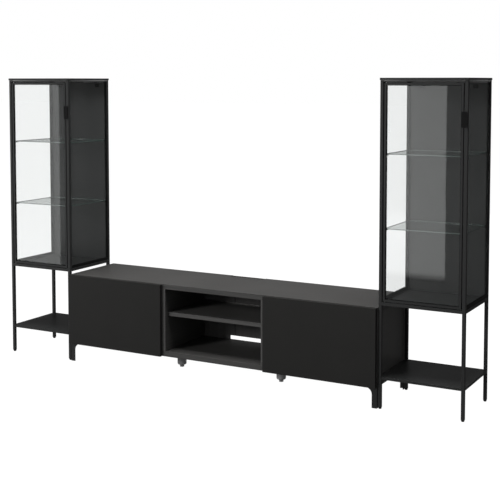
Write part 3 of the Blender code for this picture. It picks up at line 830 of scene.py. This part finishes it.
# %% Middle feet
# The outlines are pairs of a share of the foot's radius and a height in metres.
CUP_LOWER = ((0.0, 0.0130), (0.50, 0.0125), (0.60, 0.0105), (0.86, 0.0140), (0.96, 0.0165), (1.0, 0.0195))
CUP_UPPER = ((1.0, 0.012), (0.97, 0.011), (0.97, 0.009), (1.0, 0.008), (1.0, 0.001), (0.97, 0.0), (0.0, 0.0))
FOOT_PAD = (
    (0.0, 0.0), (0.44, 0.0), (0.48, 0.0012), (0.48, 0.0052),
    (0.42, 0.0066), (0.30, 0.0072), (0.30, 0.0128), (0.0, 0.0128),
)
FOOT_SIDES = 56

for side in ("left", "right"):
    low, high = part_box(f"bench_{side}_middle_foot")
    radius = (high.x - low.x) / 2
    top = high.z - low.z
    centre = ((low.x + high.x) / 2, (low.y + high.y) / 2, low.z)
    cup = [(radius * across, height) for across, height in CUP_LOWER]
    cup += [(radius * across, top - drop) for across, drop in CUP_UPPER]
    foot = lathe(
        f"bench_{side}_foot_cup", cup, centre, (0, 0, 1),
        grey_plastic, ROOT, FOOT_SIDES,
    )
    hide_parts(f"bench_{side}_middle_foot")
    pad = [(radius * across, height) for across, height in FOOT_PAD]
    lathe(
        f"bench_{side}_foot_pad", pad, centre, (0, 0, 1),
        grey_plastic, ROOT, FOOT_SIDES,
    )
print("middle feet: 2")

# %% [markdown]
# ## Studio
#
# The furniture is nearly black, so it is drawn by what it reflects. The background is plain
# white for the camera and dim for everything else, with a few broad glows: the strongest at
# the front left and a weaker one at the right. Each has a direction, a level and a tightness.

# %% World
SKY_BASE = 0.045
SKY_LOBES = {
    "overhead": ((0.0, 0.0, 1.0), 0.02, 1.5),
    "front left": ((-0.62, -0.75, 0.22), 0.4, 3.0),
    "front": ((0.35, -0.90, 0.15), 0.02, 3.0),
    "back left": ((-0.55, 0.80, 0.22), 0.075, 4.0),
    "right": ((1.0, -0.10, 0.10), 0.24, 2.0),
    "below": ((-0.2, -0.4, -1.0), 0.03, 1.5),
}

world = bpy.data.worlds.new("studio")
bpy.context.scene.world = world
sky = Finish("studio", world)
ray = sky.node("ShaderNodeTexCoord", {}, {}, "Generated")
glow = SKY_BASE
for label, (direction, strength, tightness) in SKY_LOBES.items():
    aim = tuple(Vector(direction).normalized())
    along = sky.node("ShaderNodeVectorMath", {"operation": "DOT_PRODUCT"}, {0: ray, 1: aim}, "Value")
    glow = along.clamped() ** tightness * strength + glow
seen = sky.node("ShaderNodeBackground", {}, {"Color": (1.0, 1.0, 1.0, 1.0)})
lit = sky.node("ShaderNodeBackground", {}, {"Color": glow})
by_eye = sky.node("ShaderNodeLightPath", {}, {}, "Is Camera Ray")
both = sky.node("ShaderNodeMixShader", {}, {0: by_eye, 1: lit, 2: seen})
world_end = sky.tree.nodes.new("ShaderNodeOutputWorld")
sky.tree.links.new(both.socket, world_end.inputs["Surface"])
print("light round the studio:", SKY_LOBES)

# %% [markdown]
# ## Lights
#
# One soft box stands at the front left, one hangs overhead for the tops, and a low one behind
# keeps the backs readable. None of them is mirrored, so no bright oblong shows in the glass.

# %% Lights
MIDDLE = (0.0, 0.0, 0.6)
SOFT_BOXES = {  # place, width and height, watts
    "front_left_box": ((-3.75, -8.1, 3.4), (1.8, 1.8), 520.0),
    "overhead_box": ((0.0, -0.6, 4.5), (4.0, 2.0), 360.0),
    "low_back_box": ((1.0, 7.0, 1.1), (3.0, 1.2), 420.0),
}


def soft_box(name, place, size, power):
    data = bpy.data.lights.new(name, "AREA")
    data.shape = "RECTANGLE"
    data.size, data.size_y = size
    data.energy = power
    lamp = bpy.data.objects.new(name, data)
    lamp.location = place
    aim = Vector(MIDDLE) - Vector(place)
    lamp.rotation_euler = aim.to_track_quat("-Z", "Y").to_euler()
    bpy.context.scene.collection.objects.link(lamp)
    lamp.visible_camera = False
    lamp.visible_glossy = False


for name, (place, size, power) in SOFT_BOXES.items():
    soft_box(name, place, size, power)
print("lights:", len(SOFT_BOXES))

# %% [markdown]
# ## Reflector boards
#
# Glass shows itself by its reflections. Two tall white boards stand in front, out of the
# picture, so that each glazed door mirrors an upright band. They shine only in reflections,
# and their lower edges are soft.

# %% Reflector boards
REFLECTOR_Y = -3.5
REFLECTOR_TOP = 1.9
REFLECTORS = {  # left and right edges, lower edge, height of its fade, brightness
    "right_reflector": (-0.60, 0.127, -0.035, 0.07, 2.15),
    "left_reflector": (-5.4, -3.657, -0.70, 0.02, 2.05),
}


def reflector(name, left, right, low, fade_height, strength):
    shape = bmesh.new()
    corners = ((left, low), (right, low), (right, REFLECTOR_TOP), (left, REFLECTOR_TOP))
    shape.faces.new([shape.verts.new((x, REFLECTOR_Y, z)) for x, z in corners])
    mesh = bpy.data.meshes.new(name)
    shape.to_mesh(mesh)
    shape.free()
    finish = Finish(name)
    height = finish.node("ShaderNodeSeparateXYZ", {}, {0: finish.place()}, "Z")
    fade = ((height - low) / fade_height).clamped()
    glow = finish.node("ShaderNodeEmission", {}, {"Color": fade * strength})
    mesh.materials.append(finish.done(glow))
    board = bpy.data.objects.new(name, mesh)
    bpy.context.scene.collection.objects.link(board)
    board.visible_camera = False
    board.visible_diffuse = False
    board.visible_shadow = False
    board.visible_transmission = False
    board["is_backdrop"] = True


for name, numbers in REFLECTORS.items():
    reflector(name, *numbers)
print("reflector boards:", len(REFLECTORS))

# %% [markdown]
# ## Floor
#
# A pale floor carries the furniture. It glows at full white, so it melts into the background.
# A small share of plain shading on top of that brightens it where it is seen through
# glass, which takes a little of the light away. It shows in no reflection.

# %% Floor
FLOOR_SIZE = 60.0
FLOOR_DROP = 0.0005
FLOOR_GLOW = 1.0
FLOOR_SHADED = 0.05

shape = bmesh.new()
bmesh.ops.create_grid(shape, x_segments=1, y_segments=1, size=FLOOR_SIZE)
floor_mesh = bpy.data.meshes.new("studio_floor")
shape.to_mesh(floor_mesh)
shape.free()
floor_finish = Finish("pale floor")
white = {"Color": (1.0, 1.0, 1.0, 1.0), "Strength": FLOOR_GLOW}
grey = {"Color": (FLOOR_SHADED, FLOOR_SHADED, FLOOR_SHADED, 1.0)}
glowing = floor_finish.node("ShaderNodeEmission", {}, white)
shaded = floor_finish.node("ShaderNodeBsdfDiffuse", {}, grey)
both = floor_finish.node("ShaderNodeAddShader", {}, {0: glowing, 1: shaded})
floor_mesh.materials.append(floor_finish.done(both))
floor = bpy.data.objects.new("studio_floor", floor_mesh)
floor.location.z = -FLOOR_DROP
bpy.context.scene.collection.objects.link(floor)
floor.visible_diffuse = False
floor.visible_glossy = False
floor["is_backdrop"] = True
print("floor glow", FLOOR_GLOW)

# %% [markdown]
# ## Picture settings
#
# The plain view transform keeps white as white. Rays may pass many panes, because a view
# along the bench looks through both cabinets at once.

# %% Picture settings
MOST_PANES = 40

bpy.context.scene.view_settings.view_transform = "Standard"
bpy.context.scene.cycles.transparent_max_bounces = MOST_PANES
print("view transform", bpy.context.scene.view_settings.view_transform)

# %% [markdown]
# ## Sizes
#
# The box round everything that shows is measured, and its size is printed.

# %% Sizes
low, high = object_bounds()
print("visual size:", [round(v, 3) for v in high - low])
